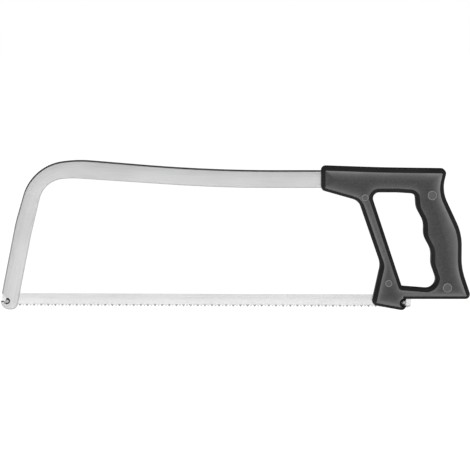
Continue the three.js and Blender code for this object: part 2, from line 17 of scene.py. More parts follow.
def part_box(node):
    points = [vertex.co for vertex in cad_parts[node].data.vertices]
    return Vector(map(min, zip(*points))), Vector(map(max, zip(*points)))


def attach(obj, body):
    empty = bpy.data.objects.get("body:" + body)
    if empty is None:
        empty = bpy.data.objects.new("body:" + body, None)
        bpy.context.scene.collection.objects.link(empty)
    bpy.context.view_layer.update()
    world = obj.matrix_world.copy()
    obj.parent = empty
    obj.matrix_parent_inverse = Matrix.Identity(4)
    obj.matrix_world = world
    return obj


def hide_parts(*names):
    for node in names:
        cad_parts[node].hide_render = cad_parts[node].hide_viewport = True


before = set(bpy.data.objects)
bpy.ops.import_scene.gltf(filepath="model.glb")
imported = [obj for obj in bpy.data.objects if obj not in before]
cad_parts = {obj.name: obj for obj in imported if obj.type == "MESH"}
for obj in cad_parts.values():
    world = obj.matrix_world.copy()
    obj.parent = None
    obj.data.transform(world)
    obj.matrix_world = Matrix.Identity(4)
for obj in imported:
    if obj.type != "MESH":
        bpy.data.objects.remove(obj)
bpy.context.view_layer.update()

# %% [markdown]
# ## Places that come from the frame
# Sizes below are in millimetres, as on a drawing, and MM turns them into Blender's metres. The places of
# the pins, the plugs and the thickness of each piece are read from the solids, so that nothing has to be
# fitted.

# %% Read the places
MM = 0.001


def centre_of(node):
    low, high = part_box(node)
    return (low + high) / 2


TOE_PIN = centre_of("toe_pin")
HEEL_PIN = centre_of("heel_pin")
HANDLE_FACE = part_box("handle_near_half")[0].y
PARTING_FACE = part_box("handle_near_half")[1].y
BAR_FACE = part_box("bow_frame")[1].y
BLADE_TILT = math.atan2(TOE_PIN.z - HEEL_PIN.z, HEEL_PIN.x - TOE_PIN.x)
FASTENINGS = ("front_top", "front_low", "rear_top", "rear_low")
print("pins", round((HEEL_PIN - TOE_PIN).length / MM, 2), "mm apart, blade tilted", round(BLADE_TILT, 5))

# %% [markdown]
# ## The camera
# The photograph is a catalogue side view, taken from far away and a little above. A long lens far back
# gives the same flat look. The view is aimed at the middle of the picture, and its width is set at the
# saw.

# %% Make the camera
VIEW_ABOVE = math.radians(6)
VIEW_DISTANCE = 2.6
VIEW_WIDTH = 473 * MM
VIEW_CENTRE = Vector((-209.3 * MM, 0, 5.06 * MM))


def make_camera():
    back = Vector((0, -math.cos(VIEW_ABOVE), math.sin(VIEW_ABOVE)))
    bpy.ops.object.camera_add(location=VIEW_CENTRE + back * VIEW_DISTANCE)
    camera = bpy.context.object
    camera.name = "side_camera"
    camera.rotation_euler = (-back).to_track_quat("-Z", "Y").to_euler()
    camera.data.lens = camera.data.sensor_width * VIEW_DISTANCE / VIEW_WIDTH
    bpy.context.scene.camera = camera
    return camera


camera = make_camera()
print("lens", round(camera.data.lens), "mm at", VIEW_DISTANCE, "m")

# %% [markdown]
# ## Hands for nodes
# The room and every material are built from shader nodes. A socket takes a number, a colour or a link from
# another node, and these helpers join nodes without caring which of the three it is.

# %% Helpers for nodes
def feed(tree, socket, item):
    if isinstance(item, tuple):
        socket.default_value = (*item, 1)
    elif isinstance(item, (int, float)):
        socket.default_value = item
    else:
        tree.links.new(item, socket)


def value_step(tree, operation, first, second=0.5):
    node = tree.nodes.new("ShaderNodeMath")
    node.operation = operation
    feed(tree, node.inputs[0], first)
    feed(tree, node.inputs[1], second)
    return node.outputs[0]


def ramp_between(tree, value, low, high, to_low=0.0, to_high=1.0):
    node = tree.nodes.new("ShaderNodeMapRange")
    node.interpolation_type = "SMOOTHSTEP"
    limits = {"From Min": low, "From Max": high, "To Min": to_low, "To Max": to_high, "Value": value}
    for socket, item in limits.items():
        feed(tree, node.inputs[socket], item)
    return node.outputs["Result"]


def axes_of(tree, vector):
    node = tree.nodes.new("ShaderNodeSeparateXYZ")
    tree.links.new(vector, node.inputs["Vector"])
    return node.outputs


def object_place(tree):
    return tree.nodes.new("ShaderNodeTexCoord").outputs["Object"]


def length_of(tree, vector):
    node = tree.nodes.new("ShaderNodeVectorMath")
    node.operation = "LENGTH"
    tree.links.new(vector, node.inputs[0])
    return node.outputs["Value"]


def ray_kinds(tree):
    rays = tree.nodes.new("ShaderNodeLightPath").outputs
    straight = value_step(tree, "MAXIMUM", rays["Is Camera Ray"], rays["Is Transmission Ray"])
    return straight, rays["Is Glossy Ray"]


def new_material(name):
    material = bpy.data.materials.new(name)
    material.use_nodes = True
    tree = material.node_tree
    print("material", name)
    return material, tree, tree.nodes["Principled BSDF"]


# %% [markdown]
# ## The room
# Catalogue pictures are taken over a white table in a dim studio with wide soft lamps. The table is what
# the bright side of the steel mirrors, and the dim room above is what the narrow top edge of the bar
# mirrors, which is why that edge reads as a dark line. Straight overhead the room is a little lighter
# again, so that the top of the bar is grey from above. The lamps light the plastic, and they are kept out
# of the mirror images. Near the saw the lamps already light the table, so its own glow, which the steel
# mirrors, grows with distance. The floor lies low, so that the blade can swing down clear of it.

# %% Make the floor
FLOOR_HEIGHT = -0.52
FLOOR_SIZE = 40
GLOW_NEAR = 0.1
GLOW_FAR = 1.0
GLOW_REACH = 4.2


def make_floor():
    bpy.ops.object.select_all(action="DESELECT")
    bpy.ops.mesh.primitive_plane_add(size=FLOOR_SIZE, location=(0, 0, FLOOR_HEIGHT))
    floor = bpy.context.object
    floor.name = "floor"
    material, tree, surface = new_material("white_table")
    surface.inputs["Base Color"].default_value = (0.8, 0.8, 0.8, 1)
    surface.inputs["Roughness"].default_value = 0.9
    surface.inputs["Specular IOR Level"].default_value = 0.0
    away = length_of(tree, object_place(tree))
    level = ramp_between(tree, away, 0.0, GLOW_REACH, GLOW_NEAR, GLOW_FAR)
    straight, mirrored_ray = ray_kinds(tree)
    glow = tree.nodes.new("ShaderNodeEmission")
    strength = value_step(tree, "MAXIMUM", straight, value_step(tree, "MULTIPLY", mirrored_ray, level))
    tree.links.new(strength, glow.inputs["Strength"])
    both = tree.nodes.new("ShaderNodeAddShader")
    tree.links.new(surface.outputs["BSDF"], both.inputs[0])
    tree.links.new(glow.outputs["Emission"], both.inputs[1])
    tree.links.new(both.outputs["Shader"], tree.nodes["Material Output"].inputs["Surface"])
    floor.data.materials.append(material)


make_floor()
print("floor at", FLOOR_HEIGHT, "m")

# %% Make the room's light
ROOM_LOW = 0.2
ROOM_HIGH = 0.012
ROOM_OVERHEAD = 0.09
DIMMING_BAND = (-0.02, 0.32)
OVERHEAD_BAND = (0.55, 0.9)
SOFTBOX_SIZE = (2.6, 1.2)


def make_room():
    world = bpy.data.worlds.new("dim_studio")
    bpy.context.scene.world = world
    world.use_nodes = True
    tree = world.node_tree
    room = tree.nodes["Background"]
    white = tree.nodes.new("ShaderNodeBackground")
    for light in (room, white):
        light.inputs["Color"].default_value = (1, 1, 1, 1)
    direction = tree.nodes.new("ShaderNodeTexCoord").outputs["Generated"]
    height = axes_of(tree, direction)["Z"]
    shade = ramp_between(tree, height, *DIMMING_BAND, ROOM_LOW, ROOM_HIGH)
    overhead = ramp_between(tree, height, *OVERHEAD_BAND, 0.0, ROOM_OVERHEAD)
    tree.links.new(value_step(tree, "ADD", shade, overhead), room.inputs["Strength"])
    straight, mirrored_ray = ray_kinds(tree)
    below = value_step(tree, "LESS_THAN", height, 0.0)
    shown = value_step(tree, "MAXIMUM", straight, value_step(tree, "MULTIPLY", below, mirrored_ray))
    mix = tree.nodes.new("ShaderNodeMixShader")
    tree.links.new(shown, mix.inputs["Fac"])
    tree.links.new(room.outputs["Background"], mix.inputs[1])
    tree.links.new(white.outputs["Background"], mix.inputs[2])
    tree.links.new(mix.outputs["Shader"], tree.nodes["World Output"].inputs["Surface"])


def make_softbox(name, place, watts):
    bpy.ops.object.light_add(type="AREA", location=place)
    lamp = bpy.context.object
    lamp.name = name
    lamp.data.shape = "RECTANGLE"
    lamp.data.size, lamp.data.size_y = SOFTBOX_SIZE
    lamp.data.energy = watts
    lamp.visible_glossy = False
    aim = VIEW_CENTRE - Vector(place)
    lamp.rotation_euler = aim.to_track_quat("-Z", "Y").to_euler()


make_room()
make_softbox("front_softbox", (-0.3, -1.9, 1.6), watts=47.5)
make_softbox("rear_softbox", (-0.1, 1.9, 1.6), watts=40)
make_softbox("grip_end_softbox", (2.1, 0, 1.2), watts=14)
bpy.context.scene.view_settings.view_transform = "Standard"
print("a front, a rear and an end softbox, dim room above")

# %% [markdown]
# ## Hands for modelling
# Operators act on whatever is selected, and loading the frame leaves its solids selected. So each step
# starts by picking exactly one object. These few helpers pick, edit, carve and finish a piece as a
# modeller would by hand.

# %% Pick, edit and apply
MERGE = 1e-6


def pick(piece):
    if bpy.context.object and bpy.context.mode != "OBJECT":
        bpy.ops.object.mode_set(mode="OBJECT")
    bpy.ops.object.select_all(action="DESELECT")
    piece.select_set(True)
    bpy.context.view_layer.objects.active = piece


def open_edit(piece):
    pick(piece)
    bpy.ops.object.mode_set(mode="EDIT")
    bpy.ops.mesh.select_mode(type="EDGE")
    bpy.ops.mesh.select_all(action="DESELECT")
    return bmesh.from_edit_mesh(piece.data)


def open_whole(piece):
    open_edit(piece)
    bpy.ops.mesh.select_all(action="SELECT")


def open_on_faces(piece, chosen):
    shape = open_edit(piece)
    bpy.ops.mesh.select_mode(type="FACE")
    for face in shape.faces:
        face.select_set(chosen(face))
    bmesh.update_edit_mesh(piece.data)


def close_edit():
    bpy.ops.object.mode_set(mode="OBJECT")


def add_and_apply(piece, kind, **settings):
    pick(piece)
    bpy.ops.object.modifier_add(type=kind)
    modifier = piece.modifiers[-1]
    for key, value in settings.items():
        setattr(modifier, key, value)
    bpy.ops.object.modifier_apply(modifier=modifier.name)


def carve(piece, *cutters):
    for cutter in cutters:
        add_and_apply(piece, "BOOLEAN", operation="DIFFERENCE", solver="EXACT", object=cutter)
        bpy.data.objects.remove(cutter)


def finish_surface(piece, degrees=32):
    open_whole(piece)
    bpy.ops.mesh.remove_doubles(threshold=MERGE)
    bpy.ops.mesh.dissolve_degenerate(threshold=MERGE)
    close_edit()
    bpy.ops.object.shade_smooth_by_angle(angle=math.radians(degrees))
    add_and_apply(piece, "WEIGHTED_NORMAL", keep_sharp=True)


def faces_of(piece):
    piece.data.calc_loop_triangles()
    return len(piece.data.loop_triangles)


# %% Copy a solid, or cut with a box or a rod
def duplicate(source, name):
    piece = bpy.data.objects.new(name, source.data.copy())
    bpy.context.scene.collection.objects.link(piece)
    pick(piece)
    return piece


def copy_of(node, name):
    piece = duplicate(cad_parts[node], name)
    if piece.data.has_custom_normals:
        bpy.ops.mesh.customdata_custom_splitnormals_clear()
    open_whole(piece)
    bpy.ops.mesh.remove_doubles(threshold=MERGE)
    close_edit()
    return piece


def settle_new(name):
    piece = bpy.context.object
    piece.name = name
    bpy.ops.object.transform_apply(location=True, rotation=True, scale=True)
    return piece


def box_piece(name, low, high):
    low, high = Vector(low), Vector(high)
    bpy.ops.object.select_all(action="DESELECT")
    bpy.ops.mesh.primitive_cube_add(size=1, location=(low + high) / 2, scale=high - low)
    return settle_new(name)


def cone_piece(name, centre, radius_low, radius_high, y_low, y_high, sides=64, turn=0.0):
    bpy.ops.object.select_all(action="DESELECT")
    bpy.ops.mesh.primitive_cone_add(
        vertices=sides,
        radius1=radius_low,
        radius2=radius_high,
        depth=y_high - y_low,
        location=(centre.x, (y_low + y_high) / 2, centre.z),
        rotation=(-math.pi / 2, turn, 0),
    )
    return settle_new(name)


def rod_piece(name, centre, radius, y_low, y_high, sides=64, turn=0.0):
    return cone_piece(name, centre, radius, radius, y_low, y_high, sides, turn)


# %% [markdown]
# ## Outlines with rounded corners
# The bow and the handle are flat shapes, so each is drawn as a row of corners (x, z, radius of the
# rounding) and every rounding becomes an arc. The same arc helper serves an open edge, such as one side of
# the bow, and a closed outline, such as the handle.

# %% Turn corners into arcs
ARC_ERROR = 0.015
RIM_TURN = 0.7


def corner_arc(before, here, after, count=None):
    a = Vector((here[0] - before[0], here[1] - before[1])).normalized()
    b = Vector((after[0] - here[0], after[1] - here[1])).normalized()
    turn = math.atan2(a.x * b.y - a.y * b.x, a.dot(b))
    radius = here[2]
    if radius == 0:
        return [Vector(here[:2])]
    if count is None:
        step = 2 * math.acos(1 - ARC_ERROR / radius)
        count = max(3, math.ceil(abs(turn) / step))
    side = math.copysign(1, turn)
    start = Vector(here[:2]) - a * radius * math.tan(abs(turn) / 2)
    hub = start + Vector((-a.y, a.x)) * side * radius
    arm = start - hub
    points = []
    for i in range(count + 1):
        angle = turn * i / count
        spun = Matrix.Rotation(angle, 2) @ arm
        points.append(hub + spun)
    return points


def closed_outline(corners):
    points = []
    for i, here in enumerate(corners):
        points += corner_arc(corners[i - 1], here, corners[(i + 1) % len(corners)])
    return points


def slab_piece(name, points, y_low, y_high):
    bpy.ops.object.select_all(action="DESELECT")
    bpy.ops.mesh.primitive_circle_add(vertices=len(points), radius=0.1, fill_type="NGON")
    piece = bpy.context.object
    piece.name = name
    for vertex, point in zip(piece.data.vertices, points):
        vertex.co = (point.x * MM, y_low, point.y * MM)
    bpy.ops.object.mode_set(mode="EDIT")
    bpy.ops.mesh.select_all(action="SELECT")
    bpy.ops.mesh.extrude_region_move(TRANSFORM_OT_translate={"value": (0, y_high - y_low, 0)})
    bpy.ops.mesh.select_all(action="SELECT")
    bpy.ops.mesh.normals_make_consistent(inside=False)
    close_edit()
    return piece


def round_edges(piece, chosen, radius, steps):
    shape = open_edit(piece)
    for edge in shape.edges:
        edge.select_set(chosen(edge))
    count = sum(edge.select for edge in shape.edges)
    bmesh.update_edit_mesh(piece.data)
    bpy.ops.mesh.bevel(offset=radius, segments=steps, profile=0.5, affect="EDGES", clamp_overlap=False)
    close_edit()
    return count


def lies_at(y):
    return lambda part: all(abs(v.co.y - y) < MERGE for v in part.verts)


def is_rim_at(y):
    flat = lies_at(y)

    def test(edge):
        return flat(edge) and len(edge.link_faces) == 2 and edge.calc_face_angle() > RIM_TURN
    return test


# %% [markdown]
# ## Shared finishes
# Three effects appear on more than one material, so each is a node group: lines drawn along the metal, the
# fine pebble of a moulded skin, and soft patches where hands and work have polished or dulled a surface. A
# group puts out only values that change over the surface, and each material decides what to do with them.

# %% Helpers for node groups
def new_group(name, inputs, outputs):
    group = bpy.data.node_groups.new(name, "ShaderNodeTree")
    for socket, kind in inputs.items():
        group.interface.new_socket(name=socket, in_out="INPUT", socket_type=kind)
    for socket in outputs:
        group.interface.new_socket(name=socket, in_out="OUTPUT", socket_type="NodeSocketFloat")
    source = group.nodes.new("NodeGroupInput").outputs
    target = group.nodes.new("NodeGroupOutput").inputs
    print("node group", name)
    return group, source, target


def noise_of(tree, vector, scale, detail, roughness=0.5):
    node = tree.nodes.new("ShaderNodeTexNoise")
    settings = {"Vector": vector, "Scale": scale, "Detail": detail, "Roughness": roughness}
    for socket, item in settings.items():
        feed(tree, node.inputs[socket], item)
    return node.outputs["Fac"]


# %% Group: lines drawn along the metal
def make_drawn_lines():
    inputs = {"Vector": "NodeSocketVector", "Along": "NodeSocketFloat", "Across": "NodeSocketFloat"}
    group, source, target = new_group("Drawn lines", inputs, ["Lines", "Streaks"])
    parts = axes_of(group, source["Vector"])
    fine = group.nodes.new("ShaderNodeCombineXYZ")
    broad = group.nodes.new("ShaderNodeCombineXYZ")
    for axis in "XYZ":
        share = source["Along" if axis == "X" else "Across"]
        scaled = value_step(group, "MULTIPLY", parts[axis], share)
        group.links.new(scaled, fine.inputs[axis])
        wide = value_step(group, "MULTIPLY", scaled, 0.5 if axis == "X" else 0.14)
        group.links.new(wide, broad.inputs[axis])
    group.links.new(noise_of(group, fine.outputs["Vector"], 1.0, 4.0, 0.65), target["Lines"])
    streaks = noise_of(group, broad.outputs["Vector"], 1.0, 2.0)
    group.links.new(ramp_between(group, streaks, 0.3, 0.7), target["Streaks"])
    return group


DRAWN_LINES = make_drawn_lines()


# %% Group: pebble of a moulded skin
def make_pebble():
    inputs = {"Vector": "NodeSocketVector", "Grains per metre": "NodeSocketFloat"}
    group, source, target = new_group("Moulded pebble", inputs, ["Height", "Speck"])
    grain = group.nodes.new("ShaderNodeTexVoronoi")
    grain.feature = "SMOOTH_F1"
    grain.inputs["Smoothness"].default_value = 0.6
    group.links.new(source["Vector"], grain.inputs["Vector"])
    group.links.new(source["Grains per metre"], grain.inputs["Scale"])
    fine = noise_of(group, source["Vector"], source["Grains per metre"], 3.0)
    bowl = value_step(group, "MULTIPLY", grain.outputs["Distance"], 0.7)
    height = value_step(group, "ADD", bowl, value_step(group, "MULTIPLY", fine, 0.5))
    group.links.new(height, target["Height"])
    group.links.new(ramp_between(group, fine, 0.35, 0.68), target["Speck"])
    return group


PEBBLE = make_pebble()


# %% Group: patches left by hands and work
def make_handled():
    inputs = {"Vector": "NodeSocketVector", "Patches per metre": "NodeSocketFloat"}
    group, source, target = new_group("Handled patches", inputs, ["Patch", "Scuff"])
    patch = noise_of(group, source["Vector"], source["Patches per metre"], 2.0)
    group.links.new(ramp_between(group, patch, 0.38, 0.66), target["Patch"])
    often = value_step(group, "MULTIPLY", source["Patches per metre"], 9.0)
    scuff = noise_of(group, source["Vector"], often, 5.0, 0.7)
    group.links.new(ramp_between(group, scuff, 0.6, 0.78), target["Scuff"])
    return group


HANDLED = make_handled()


# %% Helpers for materials
def place_group(tree, group, vector, **values):
    node = tree.nodes.new("ShaderNodeGroup")
    node.node_tree = group
    tree.links.new(vector, node.inputs["Vector"])
    for key, value in values.items():
        node.inputs[key.replace("_", " ")].default_value = value
    return node


def tone_between(tree, mask, dark, light):
    node = tree.nodes.new("ShaderNodeMix")
    node.data_type = "RGBA"
    for socket, item in {"Factor": mask, "A": dark, "B": light}.items():
        feed(tree, node.inputs[socket], item)
    return node.outputs["Result"]


def raise_bump(tree, shader, height, depth, strength):
    node = tree.nodes.new("ShaderNodeBump")
    node.inputs["Strength"].default_value = strength
    node.inputs["Distance"].default_value = depth
    tree.links.new(height, node.inputs["Height"])
    tree.links.new(node.outputs["Normal"], shader.inputs["Normal"])


def distance_from_middle(tree, place):
    return value_step(tree, "ABSOLUTE", axes_of(tree, place)["Y"])


def distance_from_axis(tree, vector):
    flat = tree.nodes.new("ShaderNodeVectorMath")
    flat.operation = "MULTIPLY"
    flat.inputs[1].default_value = (1, 0, 1)
    tree.links.new(vector, flat.inputs[0])
    return length_of(tree, flat.outputs["Vector"])


def attribute_of(tree, name):
    node = tree.nodes.new("ShaderNodeAttribute")
    node.attribute_name = name
    return node.outputs["Fac"]


def coat(tree, shader, tone, rough):
    tree.links.new(tone, shader.inputs["Base Color"])
    tree.links.new(rough, shader.inputs["Roughness"])


# %% [markdown]
# ## Bow steel
# The bow is a flat bar that was drawn and brushed along its length before it was bent, so the fine lines
# follow the bend. The wide sides are bright, with a painted sheen that grows towards the inner edge and a
# painted light that fades out towards the toe, and the narrow edges and the cut notch are duller. A UV map
# that runs along the bar carries the lines, and the distance from the middle of the thickness tells side
# from edge.

# %% Material: bow steel
BAR_HALF = 8.95 * MM
BAR_SIDE = (2.38 * MM, 2.496 * MM)
# Span along the bar over which a painted light fades out towards the toe.
PAINTED_FADE_SPAN = (140 * MM, 430 * MM)
SIDE_TONES = ((0.72, 0.722, 0.726), (0.87, 0.872, 0.875))
EDGE_TONES = ((0.64, 0.642, 0.646), (0.78, 0.78, 0.782))


def make_bow_steel():
    material, tree, shader = new_material("brushed_bow_steel")
    along_bar = tree.nodes.new("ShaderNodeUVMap")
    along_bar.uv_map = "along_bar"
    place = object_place(tree)
    lines = place_group(tree, DRAWN_LINES, along_bar.outputs["UV"], Along=45.0, Across=3600.0)
    worn = place_group(tree, HANDLED, place, Patches_per_metre=16.0)
    side = ramp_between(tree, distance_from_middle(tree, place), *BAR_SIDE)
    spots = axes_of(tree, along_bar.outputs["UV"])
    # Painted sheen: the sides grow lighter towards the inner edge.
    across = ramp_between(tree, spots["Y"], -BAR_HALF, 0.3 * BAR_HALF, 0.0, 0.7)
    streaks = value_step(tree, "MULTIPLY", lines.outputs["Streaks"], 0.3)
    # Painted light that fades out towards the toe.
    painted_fade_to_toe = ramp_between(tree, spots["X"], *PAINTED_FADE_SPAN, 0.15, 0.0)
    sheen = value_step(tree, "ADD", value_step(tree, "ADD", across, streaks), painted_fade_to_toe)
    bright = tone_between(tree, sheen, *SIDE_TONES)
    edge = tone_between(tree, worn.outputs["Scuff"], *EDGE_TONES)
    brushed = ramp_between(tree, lines.outputs["Lines"], 0.25, 0.75, 0.26, 0.4)
    dulled = value_step(tree, "MULTIPLY", worn.outputs["Patch"], 0.05)
    coat(tree, shader, tone_between(tree, side, edge, bright), value_step(tree, "ADD", brushed, dulled))
    shader.inputs["Metallic"].default_value = 1.0
    raise_bump(tree, shader, lines.outputs["Lines"], depth=0.01 * MM, strength=0.45)
    return material


BOW_STEEL = make_bow_steel()

# %% [markdown]
# ## Blade steel, pins and fasteners
# The blade is thin rolled strip, brighter than the bow, with grinding marks along it and freshly ground
# teeth. A painted shade draws a dark ring round the front pin, where the toe's seat shades the blade. The
# pins are turned on a lathe, so their ends show rings, and their bevelled rim gets a painted shade too;
# the rear pin is painted darker, for the dark dish it sits in. Screws and nuts are zinc plated and sit out
# of sight.

# %% Material: blade steel
# Painted shade round the front pin: how far it reaches, where it stops behind the pin, and its tone.
PIN_SHADE_REACH = 3.1 * MM
PIN_SHADE_FRONT = -1.2 * MM
PIN_SHADE_TONE = (0.07, 0.07, 0.072)
TOOTH_LINE = (-2.6 * MM, -3.6 * MM)
LOWER_HALF = (4.0 * MM, 0.5 * MM)
STRIP_TONES = ((0.74, 0.742, 0.745), (0.84, 0.842, 0.845))
TOOTH_TONE = (0.93, 0.932, 0.935)


# Painted shade: a dark ring on the blade round the front pin, where the toe's seat shades it.
def painted_shade_round_pin(tree, vector, ahead):
    away = distance_from_axis(tree, vector)
    near = ramp_between(tree, away, PIN_SHADE_REACH, 0.9 * PIN_SHADE_REACH)
    behind = ramp_between(tree, ahead, 1.5 * PIN_SHADE_FRONT, PIN_SHADE_FRONT)
    return value_step(tree, "MULTIPLY", near, behind)


def make_blade_steel():
    material, tree, shader = new_material("ground_blade_steel")
    place = object_place(tree)
    level = tree.nodes.new("ShaderNodeMapping")
    level.vector_type = "TEXTURE"
    level.inputs["Location"].default_value = TOE_PIN
    level.inputs["Rotation"].default_value = (0, BLADE_TILT, 0)
    tree.links.new(place, level.inputs["Vector"])
    lines = place_group(tree, DRAWN_LINES, level.outputs["Vector"], Along=60.0, Across=5200.0)
    worn = place_group(tree, HANDLED, place, Patches_per_metre=24.0)
    parts = axes_of(tree, level.outputs["Vector"])
    tooth = ramp_between(tree, parts["Z"], *TOOTH_LINE)
    low = ramp_between(tree, parts["Z"], *LOWER_HALF, 0.0, 0.8)
    streaks = value_step(tree, "MULTIPLY", lines.outputs["Streaks"], 0.2)
    sheen = value_step(tree, "ADD", low, streaks)
    strip = tone_between(tree, sheen, *STRIP_TONES)
    unshaded_tone = tone_between(tree, tooth, strip, TOOTH_TONE)
    pin_shade = painted_shade_round_pin(tree, level.outputs["Vector"], parts["X"])
    ground = ramp_between(tree, lines.outputs["Lines"], 0.25, 0.75, 0.14, 0.26)
    filed = value_step(tree, "MULTIPLY", tooth, 0.3)
    dulled = value_step(tree, "MULTIPLY", worn.outputs["Patch"], 0.04)
    rough = value_step(tree, "ADD", value_step(tree, "ADD", ground, filed), dulled)
    coat(tree, shader, tone_between(tree, pin_shade, unshaded_tone, PIN_SHADE_TONE), rough)
    shader.inputs["Metallic"].default_value = 1.0
    raise_bump(tree, shader, lines.outputs["Lines"], depth=0.006 * MM, strength=0.25)
    return material


BLADE_STEEL = make_blade_steel()


# %% Material: turned pin steel
# Painted shade on the bevelled rim of each pin end: where it lies and its tone.
PIN_SHADE_RING = (1.45 * MM, 1.6 * MM)
PIN_RIM_SHADE_TONE = (0.1, 0.1, 0.102)


def make_pin_steel(name, centre, dull, bright):
    material, tree, shader = new_material(name)
    place = object_place(tree)
    middle = tree.nodes.new("ShaderNodeMapping")
    middle.inputs["Location"].default_value = -centre
    tree.links.new(place, middle.inputs["Vector"])
    rings = tree.nodes.new("ShaderNodeTexWave")
    rings.wave_type = "RINGS"
    rings.rings_direction = "Y"
    settings = {"Vector": middle.outputs["Vector"], "Scale": 900.0, "Distortion": 1.2, "Detail": 2.0}
    for socket, item in settings.items():
        feed(tree, rings.inputs[socket], item)
    worn = place_group(tree, HANDLED, place, Patches_per_metre=180.0)
    unshaded_tone = tone_between(tree, worn.outputs["Patch"], (dull,) * 3, (bright,) * 3)
    # Painted shade: the bevelled rim of the pin end is darkened.
    rim = ramp_between(tree, distance_from_axis(tree, middle.outputs["Vector"]), *PIN_SHADE_RING)
    rough = ramp_between(tree, rings.outputs["Fac"], 0.0, 1.0, 0.26, 0.4)
    coat(tree, shader, tone_between(tree, rim, unshaded_tone, PIN_RIM_SHADE_TONE), rough)
    shader.inputs["Metallic"].default_value = 1.0
    raise_bump(tree, shader, rings.outputs["Fac"], depth=0.008 * MM, strength=0.5)
    return material


TOE_PIN_STEEL = make_pin_steel("turned_toe_pin", TOE_PIN, 0.6, 0.74)
# The rear pin is the same steel with a painted shade, darker for the dark dish it sits in.
HEEL_PIN_SHADED_STEEL = make_pin_steel("turned_heel_pin_painted_shade", HEEL_PIN, 0.42, 0.56)


# %% Material: zinc plate
ZINC_TONES = ((0.46, 0.48, 0.5), (0.62, 0.63, 0.63))


def make_zinc():
    material, tree, shader = new_material("zinc_plate")
    worn = place_group(tree, HANDLED, object_place(tree), Patches_per_metre=220.0)
    tone = tone_between(tree, worn.outputs["Patch"], *ZINC_TONES)
    coat(tree, shader, tone, ramp_between(tree, worn.outputs["Scuff"], 0.0, 1.0, 0.3, 0.5))
    shader.inputs["Metallic"].default_value = 1.0
    raise_bump(tree, shader, worn.outputs["Scuff"], depth=0.01 * MM, strength=0.4)
    return material


ZINC = make_zinc()

# %% [markdown]
# ## Black plastics
# The handle is moulded with a fine pebble on its flat sides and a smoother, darker skin on the rounded
# edges and inside the opening. The flat sides lie at a known distance from the middle, so that distance
# separates the two. The back of the grip, where the palm lies, gets a painted light that makes it a little
# paler than the other walls.

# %% Material: grip plastic
# Painted light: how far the pale flat tone reaches into the rounding on undersides.
UNDER_BOUNCE_REACH = 0.22 * MM
FLAT_SIDE = (9.95 * MM, 9.998 * MM)
ROUND_EDGE = (5.0 * MM, 8.5 * MM)
# Span of the painted light on the back of the grip.
PAINTED_BACK_SPAN = (2 * MM, 12 * MM)
WALL_TONES = ((0.005, 0.005, 0.0053), (0.009, 0.009, 0.0093))
# Tone of the painted light on the back of the grip.
BACK_PAINTED_LIGHT = (0.034, 0.034, 0.0345)
SKIN_TONES = ((0.019, 0.019, 0.0195), (0.026, 0.026, 0.0265))
FLAT_TONES = ((0.058, 0.058, 0.059), (0.098, 0.098, 0.099))
# Tone of the painted highlight along the border of the flat sides.
BORDER_HIGHLIGHT_TONE = (0.27, 0.27, 0.272)


def make_grip_plastic():
    material, tree, shader = new_material("black_grip_plastic")
    place = object_place(tree)
    pebble = place_group(tree, PEBBLE, place, Grains_per_metre=1500.0)
    mottle = place_group(tree, PEBBLE, place, Grains_per_metre=520.0)
    worn = place_group(tree, HANDLED, place, Patches_per_metre=22.0)
    depth = distance_from_middle(tree, place)
    # Painted light: on undersides the pale flat tone reaches a little into the rounding, as if lit from
    # the table.
    painted_bounce = value_step(tree, "MULTIPLY", attribute_of(tree, "underside"), UNDER_BOUNCE_REACH)
    side = ramp_between(tree, value_step(tree, "ADD", depth, painted_bounce), *FLAT_SIDE)
    # Painted light on the back of the grip, so that it is paler than the other walls.
    back = ramp_between(tree, axes_of(tree, place)["X"], *PAINTED_BACK_SPAN)
    wall = tone_between(tree, back, tone_between(tree, worn.outputs["Patch"], *WALL_TONES), BACK_PAINTED_LIGHT)
    round_skin = tone_between(tree, worn.outputs["Patch"], *SKIN_TONES)
    skin = tone_between(tree, ramp_between(tree, depth, *ROUND_EDGE), wall, round_skin)
    fine = value_step(tree, "MULTIPLY", pebble.outputs["Speck"], 0.5)
    broad = value_step(tree, "MULTIPLY", mottle.outputs["Speck"], 0.5)
    speck = value_step(tree, "ADD", fine, broad)
    flat = tone_between(tree, speck, *FLAT_TONES)
    # Painted highlight along the border, a little weakened in random patches.
    unworn = ramp_between(tree, worn.outputs["Patch"], 0.0, 1.0, 1.0, 0.75)
    painted_highlight = value_step(tree, "MULTIPLY", attribute_of(tree, "painted_border_highlight"), unworn)
    face = tone_between(tree, painted_highlight, flat, BORDER_HIGHLIGHT_TONE)
    polish = ramp_between(tree, worn.outputs["Patch"], 0.0, 1.0, 0.56, 0.48)
    scuffed = value_step(tree, "ADD", polish, value_step(tree, "MULTIPLY", worn.outputs["Scuff"], 0.1))
    rough = value_step(tree, "ADD", scuffed, value_step(tree, "MULTIPLY", side, 0.1))
    coat(tree, shader, tone_between(tree, side, skin, face), rough)
    shader.inputs["Specular IOR Level"].default_value = 0.12
    shown = ramp_between(tree, side, 0.0, 1.0, 0.2, 1.0)
    height = value_step(tree, "MULTIPLY", pebble.outputs["Height"], shown)
    raise_bump(tree, shader, height, depth=0.1 * MM, strength=0.5)
    return material


GRIP_PLASTIC = make_grip_plastic()


# %% Material: plug plastic
# Painted highlight on the raised rim of each plug: where it lies and its tone.
PLUG_RIM_FACE = (9.7 * MM, 9.82 * MM)
DISH_TONES = ((0.115, 0.115, 0.116), (0.15, 0.15, 0.151))
PLUG_RIM_HIGHLIGHT = (0.28, 0.28, 0.282)


